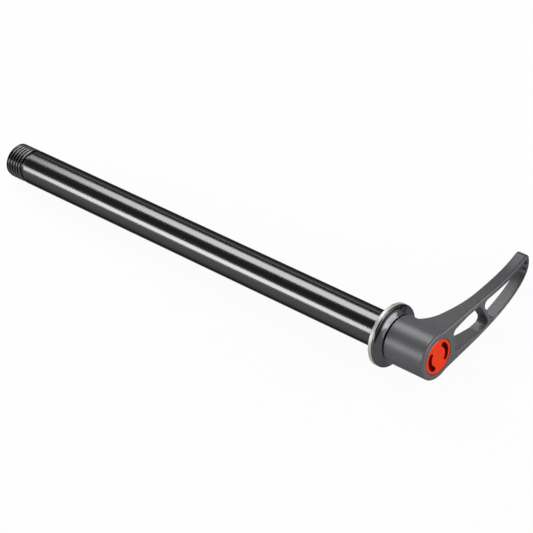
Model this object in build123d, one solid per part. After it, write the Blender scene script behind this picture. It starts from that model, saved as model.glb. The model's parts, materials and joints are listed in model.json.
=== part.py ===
from build123d import *
from math import atan, cos, degrees, hypot, pi, radians, sin, sqrt, tan
import os

# Thru axle for a bicycle's rear wheel, with a sprung ratchet lever at one end.
# The axle is drawn along X: x is 0 on the washer's clamp face, the thread end lies
# towards -X and the lever towards +X. The lever's blade points along +Y and its hollow
# edge looks up, along +Z. At the end every piece is laid on the floor together.
# All sizes are in millimetres and all angles in degrees.

# Shaft
clamp_length = 165.0
shaft_r = 6.0
shaft_bore_r = 3.5
bore_chamfer = 0.5
thread_r = 5.95
thread_length = 6.9
thread_end_chamfer = 0.6
relief_r = 5.45
relief_width = 0.5
lead_cone_length = 1.2

# Flange and its loose washer
flange_r = 10.4
flange_rim_width = 0.65
flange_length = 2.25
flange_root_r = 7.7
rim_rounding = 0.15
washer_thickness = 1.35
washer_chamfer = 0.2
washer_running_gap = 0.05
washer_land_height = 0.2
ring_section_r = 0.35
ring_groove_depth = 0.3
ring_groove_play = 0.02

# Seat, teeth and nose of the axle's head
seat_height = 0.4
seat_r = 7.3
tooth_count = 24
tooth_root_r = 5.4
tooth_tip_r = 6.0
tooth_gap = 0.12
lever_travel = 4.0
tooth_free_play = 0.4
nose_r = 4.3
nose_length = 2.9
tap_r = 3.0
tap_depth = 11.5

# Cap screw
cap_r = 5.85
cap_height = 2.2
cap_chamfer = 0.2
cap_running_gap = 0.1
cap_sleeve_r = 4.0
stud_gap = 0.02
stud_length = 8.0
stud_chamfer = 0.5
slot_middle_r = 4.05
slot_width = 1.7
slot_sweep = 88.0
slot_depth = 1.1

# Lever hub
hub_r = 7.9
hub_length = 15.05
hub_end_chamfer = 0.3
toothed_ring_r = 6.9
toothed_ring_recess = 0.2
shoulder_thickness = 1.4
shoulder_bore_r = 4.5

# Lever blade
lever_reach = 47.4
blade_thickness = 4.2
blade_root_height = 7.27
blade_waist_height = 4.2
blade_tip_height = 2.45
blade_belly = 9.93
tip_corner_r = 1.5
root_blend_r = 14.0
root_overlap = 0.1
flare_start = 25.7
flare_r = 38.6
flare_root_r = 6.6
edge_rounding = 0.7

# Windows through the blade
top_rim = 1.7
bottom_rim = 1.35
tip_rim = 1.5
hub_wall = 0.22
near_wall_slant = 7.5
near_window_top = 3.15
near_window_bottom = 5.2
near_window_taper = 11.5
web_station = 23.1
web_width = 1.4
web_slant = 17.0
pocket_width = 1.6
tip_rib_width = 1.0
tip_rib_slant = 41.0
window_corner_r = 1.7
pocket_corner_r = 0.35
window_rounding = 0.3
window_back_rounding = 0.25

# Spring and its seat
wire_r = 0.35
coil_mean_r = 5.1
active_turns = 2.6
dead_turns = 0.8
spring_seat_gap = 0.02
spring_seat_thickness = 0.4
spring_seat_inner_r = 4.65
spring_seat_outer_r = 5.75
wire_points_per_turn = 14

# Search for the roll at which the lever's blade touches the floor
steepest_roll = -25.0
roll_halvings = 16

# Tooth shape and blade shape: shares of a tooth's pitch, the blade's reach and its belly
tooth_root_share = 0.34
tooth_tip_share = 0.12
waist_share = 0.422
slope_share = 0.645
sweep_share = 0.804
belly_start_share = 0.3
waist_drop_share = 0.614
tip_rise_share = 0.449
belly_end_share = 0.871
belly_tip_share = 0.842
belly_root_share = 0.759
flank_lean = 0.25

# Places along the axle that follow from the sizes above
tooth_length = lever_travel - tooth_free_play
flange_end_x = washer_thickness + flange_length
seat_x = flange_end_x + seat_height
teeth_end_x = seat_x + tooth_length
nose_end_x = teeth_end_x + nose_length
face_x = seat_x + hub_length
cap_bottom_x = face_x - cap_height
ring_start_x = seat_x + toothed_ring_recess
ring_end_x = ring_start_x + tooth_length
shoulder_end_x = ring_end_x + shoulder_thickness
seat_ring_x = shoulder_end_x + spring_seat_gap
spring_start_x = seat_ring_x + spring_seat_thickness
blade_back_x = face_x - blade_thickness
chamber_r = cap_r + cap_running_gap
hub_core_r = hub_r - root_overlap
washer_land_r = shaft_r + washer_land_height
washer_bore_r = washer_land_r + washer_running_gap
ring_inner_r = washer_land_r - ring_groove_depth


def turned(*corners):
    """A solid of revolution about the axle from a chain of (x, radius) corners."""
    return revolve(make_face(Polyline(*corners, close=True)), Axis.X)


def disc(x, radius, length):
    """A cylinder on the axle's line from x to x + length."""
    return extrude(Plane.YZ.offset(x) * Circle(radius), length)


def toothed_disc(x, length, gap):
    """A disc with straight-sided teeth, all its faces moved outwards by gap."""
    pitch = 360 / tooth_count
    corners = []
    for i in range(tooth_count):
        for radius, share in (
            (tooth_root_r, -tooth_root_share),
            (tooth_tip_r, -tooth_tip_share),
            (tooth_tip_r, tooth_tip_share),
            (tooth_root_r, tooth_root_share),
        ):
            side = 1 if share > 0 else -1
            angle = radians((i + share) * pitch) + side * gap / radius
            corners.append(((radius + gap) * cos(angle), (radius + gap) * sin(angle)))
    return extrude(Plane.YZ.offset(x) * make_face(Polyline(*corners, close=True)), length)


def axle_shaft():
    """Hollow shaft with flange, seat, teeth and nose turned from one bar."""
    thread_start = -clamp_length + thread_length
    cone_start = thread_start + relief_width
    rim_end = washer_thickness + flange_rim_width
    body = turned(
        (-clamp_length, 0),
        (-clamp_length, thread_r - thread_end_chamfer),
        (-clamp_length + thread_end_chamfer, thread_r),
        (thread_start, thread_r),
        (thread_start, relief_r),
        (cone_start, relief_r),
        (cone_start + lead_cone_length, shaft_r),
        (0, shaft_r),
        (0, washer_land_r),
        (washer_thickness, washer_land_r),
        (washer_thickness, flange_r - rim_rounding),
        (washer_thickness + rim_rounding, flange_r),
        (rim_end - rim_rounding, flange_r),
        (rim_end, flange_r - rim_rounding),
        (rim_end, 0),
    )
    rim_corner = (rim_end, flange_r - rim_rounding)
    flank_foot = (flange_end_x, flange_root_r)
    flank = make_face(
        [
            TangentArc(rim_corner, flank_foot, tangent=(flank_lean, -1)),
            Polyline(flank_foot, (flange_end_x, 0), (rim_end, 0), rim_corner),
        ]
    )
    body += revolve(flank, Axis.X)
    body += disc(flange_end_x, seat_r, seat_height)
    body += toothed_disc(seat_x, tooth_length, 0)
    body += disc(teeth_end_x, nose_r, nose_length)
    bore_end = nose_end_x - tap_depth
    body -= turned(
        (-clamp_length, 0),
        (-clamp_length, shaft_bore_r + bore_chamfer),
        (-clamp_length + bore_chamfer, shaft_bore_r),
        (bore_end, shaft_bore_r),
        (bore_end, 0),
    )
    return body - disc(bore_end, tap_r, tap_depth) - ring_groove()


def holding_ring(section_r):
    """A ring of that section round the shaft, half in the land and half in the washer."""
    middle_r = ring_inner_r + ring_groove_play + ring_section_r
    return revolve(Pos(washer_thickness / 2, middle_r) * Circle(section_r), Axis.X)


def ring_groove():
    """The space that the holding ring needs in the land and in the washer."""
    return holding_ring(ring_section_r + ring_groove_play)


def clamp_washer():
    """Steel washer that bears on the frame, grooved inside for its holding ring."""
    body = turned(
        (0, washer_bore_r),
        (0, flange_r - washer_chamfer),
        (washer_chamfer, flange_r),
        (washer_thickness - washer_chamfer, flange_r),
        (washer_thickness, flange_r - washer_chamfer),
        (washer_thickness, washer_bore_r),
    )
    return body - ring_groove()


def washer_ring():
    """Rubber ring between washer and land that keeps the washer on the shaft."""
    return holding_ring(ring_section_r)


def cap_screw():
    """Round cap with two curved slots, a guide sleeve and a threaded stud."""
    stud_r = tap_r - stud_gap
    stud_end = nose_end_x - stud_length
    body = turned(
        (stud_end, 0),
        (stud_end, stud_r - stud_chamfer),
        (stud_end + stud_chamfer, stud_r),
        (nose_end_x, stud_r),
        (nose_end_x, cap_sleeve_r),
        (cap_bottom_x, cap_sleeve_r),
        (cap_bottom_x, cap_r),
        (face_x - cap_chamfer, cap_r),
        (face_x, cap_r - cap_chamfer),
        (face_x, 0),
    )
    for middle in (0, 180):
        path = CenterArc((0, 0), slot_middle_r, middle - slot_sweep / 2, slot_sweep)
        slot = Plane.YZ.offset(face_x - slot_depth) * SlotArc(path, slot_width)
        body -= extrude(slot, slot_depth + 1)
    return body


def blade_edges(top_inset, bottom_inset, tip_inset):
    """Upper edge, tip corner and lower edge of the blade, each moved inwards."""
    reach = lever_reach
    tip_x = reach - tip_inset
    tip_top = (tip_x - tip_corner_r, blade_tip_height - top_inset)
    tip_side = (tip_x, blade_tip_height - tip_corner_r - top_inset)
    top_bend = (waist_share * reach, blade_waist_height - top_inset)
    bottom_bend = (belly_start_share * reach, bottom_inset - belly_end_share * blade_belly)
    top = Bezier(
        top_bend,
        (slope_share * reach, waist_drop_share * blade_waist_height - top_inset),
        (sweep_share * reach, tip_rise_share * blade_tip_height - top_inset),
        tip_top,
    )
    bottom = Bezier(
        tip_side,
        (tip_x, bottom_inset - belly_tip_share * blade_belly),
        (slope_share * reach, bottom_inset - blade_belly),
        bottom_bend,
    )
    return [
        Line((0, blade_root_height - top_inset), top_bend),
        top,
        TangentArc(tip_top, tip_side, tangent=top % 1),
        bottom,
        Line(bottom_bend, (0, bottom_inset - belly_root_share * blade_belly)),
    ]


def closed_face(edges):
    """The face inside a chain of edges whose two ends a straight line joins."""
    return make_face(edges + [Line(edges[-1] @ 1, edges[0] @ 0)])


def beyond(y, z, direction):
    """The blade's plane beyond a line through (y, z) that faces direction."""
    far = 4 * lever_reach
    return Pos(y, z) * Rot(0, 0, direction) * Pos(far / 2, 0) * Rectangle(far, far)


def lever_outline():
    """Blade and hub core seen along the axle, blended at the blade's root."""
    outline = Circle(hub_core_r) + closed_face(blade_edges(0, 0, 0))
    roots = [v for v in outline.vertices() if abs(hypot(v.X, v.Y) - hub_core_r) < 0.01]
    return fillet(roots, root_blend_r)


def window_prisms():
    """The blade's three through windows as prisms with rounded corners."""
    inside = closed_face(blade_edges(top_rim, bottom_rim, tip_rim))
    web_start = web_station - web_width / 2
    web_end = web_station + web_width / 2
    pocket_y = lever_reach - tip_rim
    pocket_z = blade_tip_height - top_rim
    pocket_drop = pocket_width / tan(radians(tip_rib_slant))
    pocket = make_face(
        Polyline(
            (pocket_y, pocket_z),
            (pocket_y - pocket_width, pocket_z),
            (pocket_y, pocket_z - pocket_drop),
            close=True,
        )
    )
    rib_start = pocket_y - pocket_width - tip_rib_width / cos(radians(tip_rib_slant))
    near = (
        inside
        - beyond(hub_r + hub_wall, 0, 180 - near_wall_slant)
        - beyond(hub_r, near_window_top, 90)
        - beyond(hub_r, -near_window_bottom, 270 - near_window_taper)
        - beyond(web_start, 0, web_slant)
    )
    far = inside - beyond(web_end, 0, 180 + web_slant)
    far -= beyond(rib_start, pocket_z, tip_rib_slant)
    prisms = []
    for face, corner_r in (
        (near, window_corner_r),
        (far, window_corner_r),
        (pocket, pocket_corner_r),
    ):
        prism = extrude(Plane.YZ.offset(seat_x - 1) * face, hub_length + 2)
        prisms.append(fillet(prism.edges().filter_by(Axis.X), corner_r))
    return prisms


def flare_cutter():
    """What lies behind the blade: flat at the tip, then two arcs down to the hub."""
    far = 4 * lever_reach
    big_x = blade_back_x - flare_r
    small_rise = hub_core_r + flare_root_r
    apart = flare_r - flare_root_r
    small_x = big_x + sqrt(apart**2 - (flare_start - small_rise) ** 2)
    stretch = flare_r / apart
    join = (
        big_x + (small_x - big_x) * stretch,
        flare_start + (small_rise - flare_start) * stretch,
    )
    start = (blade_back_x, flare_start)
    foot = (small_x, hub_core_r)
    end = (seat_x - 1, hub_core_r)
    flare = TangentArc(start, join, tangent=(0, -1))
    root = TangentArc(join, foot, tangent=flare % 1)
    behind = Polyline(foot, end, (seat_x - 1, far), (blade_back_x, far), start)
    return revolve(make_face([flare, root, behind]), Axis.X)


def on_plane(x):
    """A test for edges that lie flat in the plane at x."""
    return lambda edge: abs((edge @ 0).X - x) < 0.001 and abs((edge @ 1).X - x) < 0.001


def along_x(edge):
    """A test for straight edges along the axle."""
    return abs((edge @ 1).X - (edge @ 0).X) > 0.999 * edge.length


def rounded_front(body):
    """The body with the edges of its front face rounded."""
    return fillet(body.edges().filter_by(on_plane(face_x)), edge_rounding)


def lever_blank():
    """Blade and hub as one forging, rounded all round and not yet bored."""
    blade = extrude(Plane.YZ.offset(seat_x) * lever_outline(), hub_length) - flare_cutter()
    back_edges = []
    for edge in blade.edges():
        ends = [hypot((edge @ end).Y, (edge @ end).Z) for end in (0, 1)]
        across = edge.geom_type == GeomType.CIRCLE and abs(ends[0] - ends[1]) < 0.001
        in_end_face = on_plane(face_x)(edge) or on_plane(seat_x)(edge)
        if not (in_end_face or along_x(edge) or across):
            back_edges.append(edge)
    blade = rounded_front(fillet(back_edges, edge_rounding))
    return blade + rounded_front(disc(seat_x, hub_r, hub_length))


def window_rims(body, prisms, x_range):
    """The edges within x_range where the windows break through the blade."""
    rims = []
    for edge in body.edges():
        middle = edge @ 0.5
        if along_x(edge) or not x_range[0] < middle.X < x_range[1]:
            continue
        point = Vertex(middle.X, middle.Y, middle.Z)
        if min(prism.distance_to(point) for prism in prisms) < 0.001:
            rims.append(edge)
    return rims


def lever():
    """Forged lever: hub bored for the mechanism, blade lightened by windows."""
    body = lever_blank()
    prisms = window_prisms()
    for prism in prisms:
        body -= prism
    core_x = face_x - blade_thickness / 2
    body = fillet(window_rims(body, prisms, (core_x, face_x + 1)), window_rounding)
    body = fillet(window_rims(body, prisms, (seat_x, core_x)), window_back_rounding)
    bore = turned(
        (seat_x - 1, 0),
        (seat_x - 1, toothed_ring_r),
        (ring_end_x, toothed_ring_r),
        (ring_end_x, shoulder_bore_r),
        (shoulder_end_x, shoulder_bore_r),
        (shoulder_end_x, chamber_r),
        (face_x + 1, chamber_r),
        (face_x + 1, 0),
    )
    end_chamfer = turned(
        (seat_x, hub_r - hub_end_chamfer),
        (seat_x, hub_r + 1),
        (seat_x + hub_end_chamfer + 1, hub_r + 1),
    )
    return body - bore - end_chamfer


def toothed_ring():
    """Steel ring pressed into the hub, toothed inside to match the axle's head."""
    ring = disc(ring_start_x, toothed_ring_r, tooth_length)
    return ring - toothed_disc(ring_start_x - 1, tooth_length + 2, tooth_gap)


def spring_seat():
    """Thin ring between the spring and the lever's shoulder."""
    ring = disc(seat_ring_x, spring_seat_outer_r, spring_seat_thickness)
    return ring - disc(seat_ring_x - 1, spring_seat_inner_r, spring_seat_thickness + 2)


def spring():
    """Compression spring with closed end turns between its seat and the cap."""
    turns = active_turns + 2 * dead_turns
    dead_rise = 2 * wire_r * dead_turns
    length = cap_bottom_x - spring_start_x - 2 * wire_r
    points = []
    for i in range(round(turns * wire_points_per_turn) + 1):
        turn = i / wire_points_per_turn
        if turn < dead_turns:
            rise = 2 * wire_r * turn
        elif turn < dead_turns + active_turns:
            share = (turn - dead_turns) / active_turns
            rise = dead_rise + share * (length - 2 * dead_rise)
        else:
            rise = length - 2 * wire_r * (turns - turn)
        x = spring_start_x + wire_r + rise
        angle = 2 * pi * turn
        points.append((x, coil_mean_r * cos(angle), coil_mean_r * sin(angle)))
    wire = Spline(*points)
    return sweep(Plane(origin=wire @ 0, z_dir=wire % 0) * Circle(wire_r), path=wire)


def resting_place(pieces):
    """Where the drawn pieces lie on the floor: on thread end, washer and blade."""
    run = clamp_length - thread_end_chamfer + washer_chamfer
    tilt = atan((flange_r - thread_r) / run)
    floor = washer_chamfer * sin(tilt) - flange_r * cos(tilt)
    low = steepest_roll
    high = 0
    for _ in range(roll_halvings):
        roll = (low + high) / 2
        turn = Rot(0, -degrees(tilt), 0) * Rot(roll, 0, 0)
        if (turn * pieces["lever"]).bounding_box().min.Z < floor:
            low = roll
        else:
            high = roll
    box = (turn * Compound(list(pieces.values()))).bounding_box()
    middle = box.center()
    return Pos(-middle.X, -middle.Y, -floor) * turn


def all_pieces():
    """Every piece of the axle by its name, as drawn along X."""
    return {
        "axle_shaft": axle_shaft(),
        "clamp_washer": clamp_washer(),
        "washer_ring": washer_ring(),
        "lever": lever(),
        "toothed_ring": toothed_ring(),
        "spring_seat": spring_seat(),
        "spring": spring(),
        "cap_screw": cap_screw(),
    }


pieces = all_pieces()
place = resting_place(pieces)
os.makedirs("parts", exist_ok=True)
for name, piece in pieces.items():
    export_step(place * piece, f"parts/{name}.step")
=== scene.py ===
# %% [markdown]
# # A thru axle with a ratchet lever
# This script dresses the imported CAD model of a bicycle's rear thru axle. The real
# object is a polished black tube with a short thread at its far end. At the near end
# a bright steel washer, a dark flange and a matte forged lever sit in a row, and a
# small red cap closes the lever's hub. The CAD pieces are loaded first, because
# everything else is placed from them.

# %% Load the frame
import bmesh
import bpy
import json
import math
from mathutils import Matrix, Vector


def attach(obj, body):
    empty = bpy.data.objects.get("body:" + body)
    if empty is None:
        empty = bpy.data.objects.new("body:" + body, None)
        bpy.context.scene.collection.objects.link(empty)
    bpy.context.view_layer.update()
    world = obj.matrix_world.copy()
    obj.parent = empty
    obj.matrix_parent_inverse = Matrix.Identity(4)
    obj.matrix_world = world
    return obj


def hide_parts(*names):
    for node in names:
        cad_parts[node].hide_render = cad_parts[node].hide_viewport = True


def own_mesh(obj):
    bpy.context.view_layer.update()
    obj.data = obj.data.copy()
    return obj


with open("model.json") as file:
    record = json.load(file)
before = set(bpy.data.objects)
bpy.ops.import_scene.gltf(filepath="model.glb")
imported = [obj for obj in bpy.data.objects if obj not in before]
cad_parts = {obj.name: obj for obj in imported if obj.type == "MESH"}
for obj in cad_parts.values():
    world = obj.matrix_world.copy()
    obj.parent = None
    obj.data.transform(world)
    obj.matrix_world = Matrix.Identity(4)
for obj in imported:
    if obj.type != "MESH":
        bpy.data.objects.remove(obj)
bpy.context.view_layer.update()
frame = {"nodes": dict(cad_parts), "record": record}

# %% [markdown]
# Nearly every shape here is turned about one line, the middle of the axle. The packed
# record says where that line runs: the mount "shaft" gives a point on it and the way to
# the thread end, and the mount "clamp_face" lies in the plane of the washer's face. From
# these comes one matrix. It takes a shape that is drawn along X, with 0 on the washer's
# clamp face, and lays it where the CAD model lies.

# %% The axle's own line
MM = 0.001
mounts = {mount["name"]: mount for mount in frame["record"]["mounts"]}
outward = -Vector(mounts["shaft"]["axis"]).normalized()
shaft_centre = Vector(mounts["shaft"]["pos_m"])
to_clamp_face = Vector(mounts["clamp_face"]["pos_m"]) - shaft_centre
clamp_centre = shaft_centre + outward * to_clamp_face.dot(outward)
lay_down = outward.to_track_quat("X", "Z").to_matrix().to_4x4()
lay_down.translation = clamp_centre
print("clamp face centre:", [round(v, 4) for v in clamp_centre])


# %% [markdown]
# A finish is built from a few effects that several materials share. Each effect is a
# node group that is made once, with named inputs, and placed in a material with values
# of its own. A group only puts out masks and heights. The shader that uses them stays
# in the material, so that the model can be exported. The first two effects both start
# from a noise, so one function makes that part of them.

# %% Helpers for node trees
def new_group(name, inputs, outputs):
    """A shader node group with float inputs {name: value} and the named outputs."""
    group = bpy.data.node_groups.new(name, "ShaderNodeTree")
    kind = "NodeSocketFloat"
    for label, value in inputs.items():
        socket = group.interface.new_socket(label, in_out="INPUT", socket_type=kind)
        socket.default_value = value
    for label in outputs:
        group.interface.new_socket(label, in_out="OUTPUT", socket_type=kind)
    start = group.nodes.new("NodeGroupInput")
    end = group.nodes.new("NodeGroupOutput")
    return group, start, end


def maths(tree, operation, first, second):
    """A Math node. Each operand is a number or another node's socket."""
    node = tree.nodes.new("ShaderNodeMath")
    node.operation = operation
    for socket, operand in zip(node.inputs, (first, second)):
        if isinstance(operand, (int, float)):
            socket.default_value = operand
        else:
            tree.links.new(operand, socket)
    return node.outputs[0]


def vector_maths(tree, operation, first, second, output=0):
    """A Vector Math node. Each operand is a vector or another node's socket."""
    node = tree.nodes.new("ShaderNodeVectorMath")
    node.operation = operation
    for socket, operand in zip(node.inputs, (first, second)):
        if isinstance(operand, (Vector, tuple)):
            socket.default_value = operand
        elif operand is not None:
            tree.links.new(operand, socket)
    return node.outputs[output]


NOISE_LOW, NOISE_HIGH = 0.3, 0.7


def noise_effect(group, start, end, vector, size, detail):
    """Puts out a noise as Height and, spread between Low and High, as Mask."""
    noise = group.nodes.new("ShaderNodeTexNoise")
    noise.inputs["Detail"].default_value = detail
    group.links.new(vector, noise.inputs["Vector"])
    group.links.new(start.outputs[size], noise.inputs["Scale"])
    spread = group.nodes.new("ShaderNodeMapRange")
    group.links.new(noise.outputs["Fac"], spread.inputs["Value"])
    spread.inputs["From Min"].default_value = NOISE_LOW
    spread.inputs["From Max"].default_value = NOISE_HIGH
    group.links.new(start.outputs["Low"], spread.inputs["To Min"])
    group.links.new(start.outputs["High"], spread.inputs["To Max"])
    group.links.new(noise.outputs["Fac"], end.inputs["Height"])
    group.links.new(spread.outputs["Result"], end.inputs["Mask"])


print("node helpers ready")

# %% [markdown]
# Grain is the fine, even mottling of a blasted or anodised surface. It is a noise in
# object space, so it keeps its size on every piece.

# %% The grain group
grain, grain_in, grain_out = new_group(
    "Fine grain", {"Scale": 4000.0, "Low": 0.4, "High": 0.6}, ["Height", "Mask"]
)
GRAIN_DETAIL = 3.0
coords = grain.nodes.new("ShaderNodeTexCoord")
place = coords.outputs["Object"]
noise_effect(grain, grain_in, grain_out, place, "Scale", GRAIN_DETAIL)
print("group made:", grain.name)

# %% [markdown]
# Turned metal carries fine rings, because the cutter moves along or across the work
# while it spins. Such rings depend on two things only: how far along the axle's line a
# point is, and how far from that line. A noise that reads just those two numbers gives
# lines round a tube and circles on an end face.

# %% The turning marks group
turning, turning_in, turning_out = new_group(
    "Turning marks", {"Fineness": 9000.0, "Low": 0.4, "High": 0.6}, ["Height", "Mask"]
)
coords = turning.nodes.new("ShaderNodeTexCoord")
offset = vector_maths(turning, "SUBTRACT", coords.outputs["Object"], clamp_centre)
along = vector_maths(turning, "DOT_PRODUCT", offset, outward, output=1)
across = vector_maths(turning, "CROSS_PRODUCT", offset, outward)
away = vector_maths(turning, "LENGTH", across, None, output=1)
pair = turning.nodes.new("ShaderNodeCombineXYZ")
turning.links.new(along, pair.inputs["X"])
turning.links.new(away, pair.inputs["Y"])
MARKS_DETAIL = 2.0
place = pair.outputs[0]
noise_effect(turning, turning_in, turning_out, place, "Fineness", MARKS_DETAIL)
print("group made:", turning.name)

# %% [markdown]
# Two places get painted shade, darker than the rest of their piece. The bottom of the
# cap's slots is painted darker, as shade for the little light that comes back out of
# them, and the lever's grip end is painted a darker grey, as shade for the weaker light
# on the blade's outer half. Both follow one simple mask, which grows from 0 to 1 over a
# distance along a fixed way, here down into the cap and out along the blade.

# %% The painted shade group
CAP_FACE, SLOT_DEPTH = 19.05, 1.1
# where the painted shade on the lever's grip end starts, and over how many mm it grows
GRIP_START, GRIP_SPAN = 24.0, 14.0


def fade_group(name, way, start, span):
    """A group whose mask grows over span mm, from start mm out of the clamp centre."""
    inputs = {"Start": start, "Span": span}
    group, group_in, group_out = new_group(name, inputs, ["Mask"])
    coords = group.nodes.new("ShaderNodeTexCoord")
    offset = vector_maths(group, "SUBTRACT", coords.outputs["Object"], clamp_centre)
    reach = vector_maths(group, "DOT_PRODUCT", offset, way, output=1)
    reach_mm = maths(group, "DIVIDE", reach, MM)
    beyond = maths(group, "SUBTRACT", reach_mm, group_in.outputs["Start"])
    share = maths(group, "DIVIDE", beyond, group_in.outputs["Span"])
    cut = group.nodes.new("ShaderNodeClamp")
    group.links.new(share, cut.inputs["Value"])
    group.links.new(cut.outputs[0], group_out.inputs["Mask"])
    return group


blade_way = lay_down.col[1].to_3d()
# painted shade: darker towards the bottom of the cap's slots
painted_slot_shade = fade_group("Painted slot shade", -outward, -CAP_FACE, SLOT_DEPTH)
# painted shade: darker along the lever's grip end, towards its tip
painted_grip_shade = fade_group("Painted grip shade", blade_way, GRIP_START, GRIP_SPAN)
print("groups made:", painted_slot_shade.name, "and", painted_grip_shade.name)

# %% [markdown]
# One function makes every finish. It mixes two near colours by the effect's mask, lets
# the same mask vary the roughness, and uses its height for a very small bump. What
# makes the finishes differ are the values: an anodised black with a hard gloss, a
# blasted dark grey, a bare turned steel and a clear red dye over aluminium. A second
# function fades a finish towards another colour, which paints shade into the cap's
# slots and onto the lever's grip end.

# %% Make a finish
def make_finish(name, group, size, dark, light, rough, bump, **plain):
    """A material whose colour, roughness and bump follow one of the shared groups."""
    material = bpy.data.materials.new(name)
    material.use_nodes = True
    tree = material.node_tree
    shader = tree.nodes["Principled BSDF"]
    effect = tree.nodes.new("ShaderNodeGroup")
    effect.node_tree = group
    effect.inputs[0].default_value = size
    effect.inputs["Low"].default_value = 0.0
    effect.inputs["High"].default_value = 1.0
    mix = tree.nodes.new("ShaderNodeMix")
    mix.data_type = "RGBA"
    tree.links.new(effect.outputs["Mask"], mix.inputs["Factor"])
    mix.inputs["A"].default_value = (*dark, 1)
    mix.inputs["B"].default_value = (*light, 1)
    tree.links.new(mix.outputs["Result"], shader.inputs["Base Color"])
    vary = tree.nodes.new("ShaderNodeMapRange")
    tree.links.new(effect.outputs["Mask"], vary.inputs["Value"])
    vary.inputs["To Min"].default_value = rough[0]
    vary.inputs["To Max"].default_value = rough[1]
    tree.links.new(vary.outputs["Result"], shader.inputs["Roughness"])
    relief = tree.nodes.new("ShaderNodeBump")
    relief.inputs["Strength"].default_value = 1.0
    relief.inputs["Distance"].default_value = bump
    tree.links.new(effect.outputs["Height"], relief.inputs["Height"])
    tree.links.new(relief.outputs["Normal"], shader.inputs["Normal"])
    for label, value in plain.items():
        shader.inputs[label.replace("_", " ")].default_value = value
    return material


def fade_to(material, group, colour):
    """Mixes a finish's colour towards another one where the group's mask grows."""
    tree = material.node_tree
    effect = tree.nodes.new("ShaderNodeGroup")
    effect.node_tree = group
    shade = tree.nodes.new("ShaderNodeMix")
    shade.data_type = "RGBA"
    base = tree.nodes["Principled BSDF"].inputs["Base Color"]
    tree.links.new(effect.outputs["Mask"], shade.inputs["Factor"])
    tree.links.new(base.links[0].from_socket, shade.inputs["A"])
    shade.inputs["B"].default_value = (*colour, 1)
    tree.links.new(shade.outputs["Result"], base)


gloss_black = make_finish(
    "polished_black_anodised", turning, 6000.0,
    (0.060, 0.060, 0.062), (0.068, 0.068, 0.070), (0.18, 0.19), 1e-7,
    Metallic=1.0, Specular_Tint=(0.3, 0.3, 0.3, 1),
)
turned_black = make_finish(
    "turned_black_anodised", turning, 8000.0,
    (0.062, 0.063, 0.069), (0.076, 0.077, 0.085), (0.14, 0.17), 4e-7,
    Metallic=1.0, Specular_Tint=(0.5, 0.5, 0.5, 1),
)
matte_grey = make_finish(
    "dark_grey_forging", grain, 5200.0,
    (0.080, 0.080, 0.084), (0.110, 0.109, 0.115), (0.34, 0.42), 4e-6,
    Metallic=0.46, Specular_IOR_Level=0.0, Specular_Tint=(0.4, 0.4, 0.4, 1),
)
bright_steel = make_finish(
    "turned_steel", turning, 12000.0,
    (0.325, 0.313, 0.289), (0.395, 0.383, 0.356), (0.48, 0.54), 3e-7,
    Metallic=1.0,
)
red_dye = make_finish(
    "red_anodised", turning, 9000.0,
    (0.57, 0.025, 0.005), (0.66, 0.033, 0.008), (0.30, 0.38), 3e-7,
    Metallic=0.55, Specular_IOR_Level=0.1, Specular_Tint=(1.0, 0.6, 0.35, 1),
)
plain_steel = make_finish(
    "plain_steel", grain, 3000.0,
    (0.36, 0.36, 0.36), (0.46, 0.46, 0.46), (0.30, 0.42), 2e-6,
    Metallic=1.0,
)
soft_rubber = make_finish(
    "black_rubber", grain, 3000.0,
    (0.012, 0.012, 0.012), (0.020, 0.020, 0.020), (0.70, 0.85), 4e-6,
)
# painted shade: the lever's grip end fades to a darker grey
fade_to(matte_grey, painted_grip_shade, (0.060, 0.060, 0.063))
# painted shade: the bottom of the cap's slots fades to a deep dark red
fade_to(red_dye, painted_slot_shade, (0.10, 0.002, 0.001))
print("finishes:", [m.name for m in bpy.data.materials])

# %% [markdown]
# The lever, the cap, the washer and three of the hidden pieces have the right shape
# already, so they keep their CAD mesh and only get a finish.

# %% Dress the CAD pieces
def dress(node, material):
    """Gives a CAD piece its finish."""
    mesh = frame["nodes"][node].data
    mesh.materials.clear()
    mesh.materials.append(material)


dress("lever", matte_grey)
dress("cap_screw", red_dye)
dress("clamp_washer", bright_steel)
dress("toothed_ring", plain_steel)
dress("spring_seat", plain_steel)
dress("washer_ring", soft_rubber)
print("dressed, the shaft and the spring come next")

# %% [markdown]
# The CAD shaft has a plain end where the real one has a thread. A thread is a groove
# that climbs by one pitch in each turn, so no flat section can be spun into it. The
# way here is to spin the whole shaft first, with many fine rings along the threaded
# stretch, and then to move each of those vertices in or out by where it lies in the
# pitch. The section runs from the bore at the thread end, along the inside, round the
# flange, over the washer's land with its small ring groove and back along the outside.
# A second ring just before the lead cone keeps the cone's soft edge from bending the
# reflections along the whole tube.

# %% The shaft's section
BORE_R, TAP_R, SHAFT_R, LAND_R = 3.5, 3.0, 6.0, 6.2
BORE_CHAMFER, BORE_END = 0.5, -1.0
RIM_END, RIM_END_R, FLANGE_END, FLANGE_ROOT_R = 2.0, 10.25, 3.6, 7.7
SEAT_R, SEAT_EDGE, HEAD_START, WASHER_END = 7.3, 0.1, 4.0, 1.35
RIM_CORNERS = [(1.95, 10.36), (1.85, 10.4), (1.5, 10.4), (1.4, 10.36), (1.35, 10.25)]
GROOVE_START, GROOVE_END, GROOVE_LEAN = 1.038, 0.312, (-0.07, -0.363)
SOFT_RING, CONE_END, CONE_START, RELIEF_R = -156.2, -156.4, -157.6, 5.45
THREAD_END, THREAD_START = -165.0, -158.1
PITCH, CREST_R, THREAD_DEPTH, THREAD_RINGS = 1.25, 5.95, 0.68, 220
FLANK_LEAN, ARC_STEPS, SPIN_STEPS = (0.25, -1), 8, 96


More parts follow.
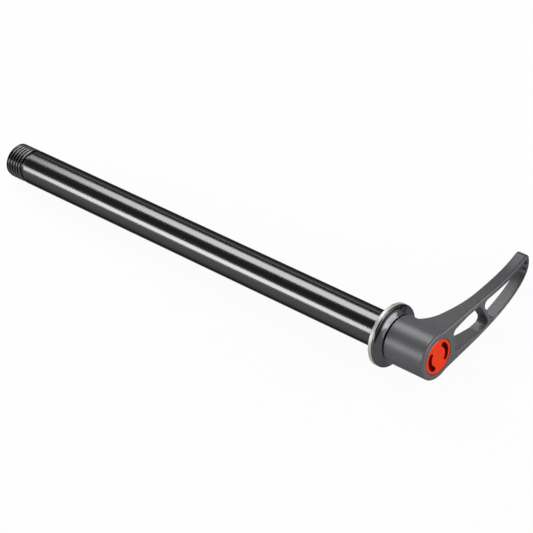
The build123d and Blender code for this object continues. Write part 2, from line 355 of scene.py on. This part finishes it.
def arc_points(start, lean, end, count):
    """Points on the arc that leaves start in direction lean and ends in end."""
    a, b = Vector(start), Vector(end)
    direction = Vector(lean).normalized()
    side = Vector((direction.y, -direction.x))
    chord = b - a
    radius = chord.length_squared / (2 * chord.dot(side))
    centre = a + side * radius
    first, last = a - centre, b - centre
    sweep = first.angle_signed(last)
    points = []
    for i in range(count + 1):
        turn = Matrix.Rotation(-sweep * i / count, 2)
        points.append(tuple(centre + turn @ first))
    return points


rim_corner, flank_foot = (RIM_END, RIM_END_R), (FLANGE_END, FLANGE_ROOT_R)
flank = arc_points(rim_corner, FLANK_LEAN, flank_foot, ARC_STEPS)
flank.reverse()
section = [(THREAD_END, BORE_R + BORE_CHAMFER), (THREAD_END + BORE_CHAMFER, BORE_R)]
section += [(BORE_END, BORE_R), (BORE_END, TAP_R), (HEAD_START, TAP_R)]
section += [(HEAD_START, SEAT_R - SEAT_EDGE), (HEAD_START - SEAT_EDGE, SEAT_R)]
section += [(FLANGE_END, SEAT_R)]
section += flank
section += RIM_CORNERS
section += [(WASHER_END, LAND_R)]
groove_start, groove_end = (GROOVE_START, LAND_R), (GROOVE_END, LAND_R)
section += arc_points(groove_start, GROOVE_LEAN, groove_end, ARC_STEPS)
section += [(0, LAND_R), (0, SHAFT_R), (SOFT_RING, SHAFT_R), (CONE_END, SHAFT_R)]
section += [(CONE_START, RELIEF_R), (THREAD_START, RELIEF_R)]
for ring in range(THREAD_RINGS + 1):
    share = ring / THREAD_RINGS
    section.append((THREAD_START + share * (THREAD_END - THREAD_START), CREST_R))
print("section points:", len(section))


# %% Spin the shaft
SPIN_MERGE = 1e-7


def spun(points, steps):
    """A closed mesh spun about X from a closed chain of (x, radius) points in mm."""
    mesh = bmesh.new()
    verts = [mesh.verts.new((x * MM, r * MM, 0)) for x, r in points]
    edges = [mesh.edges.new((verts[i - 1], verts[i])) for i in range(len(verts))]
    bmesh.ops.spin(
        mesh, geom=verts + edges, cent=(0, 0, 0), axis=(1, 0, 0),
        angle=math.tau, steps=steps, use_merge=True,
    )
    bmesh.ops.remove_doubles(mesh, verts=mesh.verts, dist=SPIN_MERGE)
    bmesh.ops.recalc_face_normals(mesh, faces=mesh.faces)
    return mesh


def finish_piece(name, mesh, material, body, sharp_degrees):
    """Turns a drawn bmesh into a piece that lies on the axle's line and rides a body."""
    for edge in mesh.edges:
        edge.smooth = edge.calc_face_angle(0) < math.radians(sharp_degrees)
    for face in mesh.faces:
        face.smooth = True
    data = bpy.data.meshes.new(name)
    mesh.to_mesh(data)
    mesh.free()
    data.materials.append(material)
    piece = bpy.data.objects.new(name, data)
    bpy.context.scene.collection.objects.link(piece)
    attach(piece, body)
    return piece


shaft_mesh = spun(section, SPIN_STEPS)
print("shaft faces:", len(shaft_mesh.faces))

# %% [markdown]
# Now the thread. A point's phase says where in the pitch it lies: it grows with the
# distance along the axle and with the angle around it, which is what makes the groove
# climb. With the angle added, the thread is left-handed. Taken away, it would be
# right-handed. Near the end of the shaft the crests fade into the chamfer, as on a real
# bolt.

# %% Cut the thread
CREST_SHARE, ROOT_SHARE, END_CHAMFER = 0.08, 0.36, 0.4
RING_MARGIN, OUTSIDE_R, FLANGE_FROM_R = 0.01, 5.5, LAND_R + 0.1


def thread_radius(x, angle):
    """The thread's radius in mm at x along the axle and at an angle around it."""
    phase = (x / PITCH + angle / math.tau) % 1.0
    from_crest = abs(phase - 0.5)
    groove = (from_crest - CREST_SHARE) / (ROOT_SHARE - CREST_SHARE)
    radius = CREST_R - THREAD_DEPTH * min(max(groove, 0.0), 1.0)
    return min(radius, CREST_R - END_CHAMFER + (x - THREAD_END))


for vert in shaft_mesh.verts:
    x = vert.co.x / MM
    radius = math.hypot(vert.co.y, vert.co.z) / MM
    in_thread = THREAD_END - RING_MARGIN <= x <= THREAD_START + RING_MARGIN
    if in_thread and radius > OUTSIDE_R:
        wanted = thread_radius(x, math.atan2(vert.co.z, vert.co.y))
        vert.co.y *= wanted / radius
        vert.co.z *= wanted / radius
for face in shaft_mesh.faces:
    centre = face.calc_center_median() / MM
    face.material_index = int(math.hypot(centre.y, centre.z) > FLANGE_FROM_R)
shaft_mesh.transform(lay_down)
shaft = finish_piece(
    "threaded_shaft", shaft_mesh, gloss_black, "axle", sharp_degrees=65
)
shaft.data.materials.append(turned_black)
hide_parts("axle_shaft")
print("thread turns:", round((THREAD_START - THREAD_END) / PITCH, 1))

# %% [markdown]
# The teeth that the lever's ring locks on lie hidden in the hub until the lever is
# pulled out. They come from a copy of the CAD shaft: its loose triangles are merged,
# the copy is cut just past the end of the hub's seat, and the cut is closed.

# %% The drive teeth
CAD_MERGE, CUT_GAP = 1e-6, 2e-6


def merged_copy(node):
    """A bmesh copy of a CAD piece with its loose triangles merged."""
    mesh = bmesh.new()
    mesh.from_mesh(frame["nodes"][node].data)
    bmesh.ops.remove_doubles(mesh, verts=mesh.verts, dist=CAD_MERGE)
    return mesh


head_mesh = merged_copy("axle_shaft")
bmesh.ops.bisect_plane(
    head_mesh, geom=head_mesh.verts[:] + head_mesh.edges[:] + head_mesh.faces[:],
    plane_co=clamp_centre + outward * (HEAD_START * MM + CUT_GAP), plane_no=outward,
    clear_inner=True,
)
open_edges = [e for e in head_mesh.edges if e.is_boundary]
loops = bmesh.ops.bridge_loops(head_mesh, edges=open_edges)
bmesh.ops.recalc_face_normals(head_mesh, faces=head_mesh.faces)
teeth = finish_piece("drive_teeth", head_mesh, plain_steel, "axle", sharp_degrees=30)
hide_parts("axle_shaft")
print("teeth faces:", len(teeth.data.polygons), "bridged:", len(loops["faces"]))

# %% [markdown]
# The spring gets shorter as the lever is pulled out, which a rigid piece can't do. A
# copy of the CAD spring stands for it. It rides the axle and gets a mesh of its own,
# and here it keeps its shape.

# %% The spring
coil_mesh = merged_copy("spring")
coil = finish_piece("coil_spring", coil_mesh, plain_steel, "axle", sharp_degrees=30)
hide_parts("spring")
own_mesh(coil)

# %% [markdown]
# The floor is one large pale plane. The photograph's ground is plain white with only a
# trace of shadow. So the floor shows itself mostly as white light to the camera, and to
# rays that metal throws back, and the rest as a pale matte surface that still takes the
# object's shadow.

# %% The floor
FLOOR_HALF_WIDTH = 6.0
floor_mesh = bmesh.new()
bmesh.ops.create_grid(floor_mesh, x_segments=4, y_segments=4, size=FLOOR_HALF_WIDTH)
floor_data = bpy.data.meshes.new("floor")
floor_mesh.to_mesh(floor_data)
floor_mesh.free()
floor = bpy.data.objects.new("floor", floor_data)
bpy.context.scene.collection.objects.link(floor)

FLOOR_WHITE, GLOW_SHARE = 0.55, 0.95
floor_material = bpy.data.materials.new("white_floor")
floor_material.use_nodes = True
tree = floor_material.node_tree
tree.nodes.clear()
path = tree.nodes.new("ShaderNodeLightPath")
matte = tree.nodes.new("ShaderNodeBsdfDiffuse")
matte.inputs["Color"].default_value = (FLOOR_WHITE, FLOOR_WHITE, FLOOR_WHITE, 1)
glow = tree.nodes.new("ShaderNodeEmission")
blend = tree.nodes.new("ShaderNodeMixShader")
by_camera, by_metal = path.outputs["Is Camera Ray"], path.outputs["Is Glossy Ray"]
seen = maths(tree, "MAXIMUM", by_camera, by_metal)
seen = maths(tree, "MAXIMUM", seen, path.outputs["Is Transmission Ray"])
seen = maths(tree, "MULTIPLY", seen, GLOW_SHARE)
tree.links.new(seen, blend.inputs[0])
tree.links.new(matte.outputs[0], blend.inputs[1])
tree.links.new(glow.outputs[0], blend.inputs[2])
output = tree.nodes.new("ShaderNodeOutputMaterial")
tree.links.new(blend.outputs[0], output.inputs["Surface"])
floor_data.materials.append(floor_material)
print("floor made")

# %% [markdown]
# The surroundings are a white sweep that rises a little above the horizon, under a dim
# ceiling. The world has no shape of its own, so a direction's height picks its strength.
# On the polished tube the sweep is what makes the faint grey bands near its two edges.

# %% The surroundings
SWEEP_TOP, SWEEP_FADE, CEILING = 0.28, 0.40, 0.15
world = bpy.data.worlds.new("studio")
bpy.context.scene.world = world
world.use_nodes = True
tree = world.node_tree
ambient = tree.nodes["Background"]
ambient.inputs["Color"].default_value = (1, 1, 1, 1)
direction = tree.nodes.new("ShaderNodeTexCoord")
parts = tree.nodes.new("ShaderNodeSeparateXYZ")
tree.links.new(direction.outputs["Generated"], parts.inputs[0])
fade = tree.nodes.new("ShaderNodeMapRange")
fade.inputs["From Min"].default_value = SWEEP_TOP
fade.inputs["From Max"].default_value = SWEEP_FADE
fade.inputs["To Min"].default_value = 1.0
fade.inputs["To Max"].default_value = CEILING
tree.links.new(parts.outputs["Z"], fade.inputs["Value"])
tree.links.new(fade.outputs["Result"], ambient.inputs["Strength"])
print("sweep up to:", round(math.degrees(math.asin(SWEEP_TOP))), "degrees")

# %% [markdown]
# A polished tube shows its lamps as stripes. In the photograph a broad pale stripe
# runs along the upper side and a narrow white one along the front, with black between,
# and a thin faint line lies above the broad one. A mirror turns a view by twice the
# surface's tilt, so each stripe says at what height its lamp stood. These lamps are long
# and stand beside the thread end, where the tube reflects them to the camera. The two
# farther ones are for faces that lean that way, the lead cone and the thread's flanks.
# The last two stand beyond the lever and light its face and the flange.

# %% The lamps
def soft_box(name, centre, aim, along, length, width, radiance):
    """An area lamp of even radiance that faces aim, with its length near along."""
    data = bpy.data.lights.new(name, "AREA")
    data.shape = "RECTANGLE"
    data.size, data.size_y = length, width
    data.energy = radiance * math.pi * width * length
    lamp = bpy.data.objects.new(name, data)
    bpy.context.scene.collection.objects.link(lamp)
    backward = (Vector(centre) - Vector(aim)).normalized()
    sideways = (Vector(along) - backward * backward.dot(Vector(along))).normalized()
    upward = backward.cross(sideways)
    turn = Matrix((sideways, upward, backward)).transposed().to_4x4()
    turn.translation = Vector(centre)
    lamp.matrix_world = turn


LAMP_DISTANCE = 0.8


def long_box(name, height_degrees, x, length, width, radiance):
    """A soft box along the axle, at an angle round it measured up from the -Y side."""
    angle = math.radians(height_degrees)
    y = clamp_centre.y - LAMP_DISTANCE * math.cos(angle)
    centre = (x, y, LAMP_DISTANCE * math.sin(angle))
    aim = (x, clamp_centre.y, 0)
    soft_box(name, centre, aim, (1, 0, 0), length, width, radiance)


long_box("top_box", 114, -0.54, 0.50, 0.52, 9.3)
long_box("front_box", 26, -0.605, 0.45, 0.34, 12.5)
long_box("far_top_box", 114, -1.35, 0.70, 0.52, 8.0)
long_box("far_front_box", 26, -1.35, 0.70, 0.34, 10.0)
long_box("line_box", 161, -0.54, 0.50, 0.06, 2.2)
lever_place = (0.08, 0, 0.01)
soft_box("side_box", (0.95, -0.2, 0.6), lever_place, (0, 1, 0), 0.8, 0.7, 2.0)
soft_box("end_box", (0.94, 0.36, 0.32), lever_place, (0, 1, 0), 0.9, 0.6, 6.0)

# %% [markdown]
# The camera stands where the photograph's camera stood. Its place was found by fitting
# the axle's known straight lines and circles to their outlines in the picture.

# %% The camera
CAMERA_PLACE = Vector((0.401516, -0.306256, 0.520966))
CAMERA_RIGHT = Vector((0.75484, 0.62187, -0.20855)).normalized()
CAMERA_BACK = Vector((0.54337, -0.41478, 0.72986)).normalized()
LENS, SENSOR_WIDTH = 148.4, 36.0
NEAREST, FARTHEST = 0.01, 50.0
camera_data = bpy.data.cameras.new("camera")
camera_data.lens = LENS
camera_data.sensor_width = SENSOR_WIDTH
camera_data.clip_start = NEAREST
camera_data.clip_end = FARTHEST
camera = bpy.data.objects.new("camera", camera_data)
bpy.context.scene.collection.objects.link(camera)
camera_up = CAMERA_BACK.cross(CAMERA_RIGHT)
pose = Matrix((CAMERA_RIGHT, camera_up, CAMERA_BACK)).transposed().to_4x4()
pose.translation = CAMERA_PLACE
camera.matrix_world = pose
bpy.context.scene.camera = camera
bpy.context.scene.view_settings.view_transform = "Standard"
print("camera distance:", round(CAMERA_PLACE.length, 3))
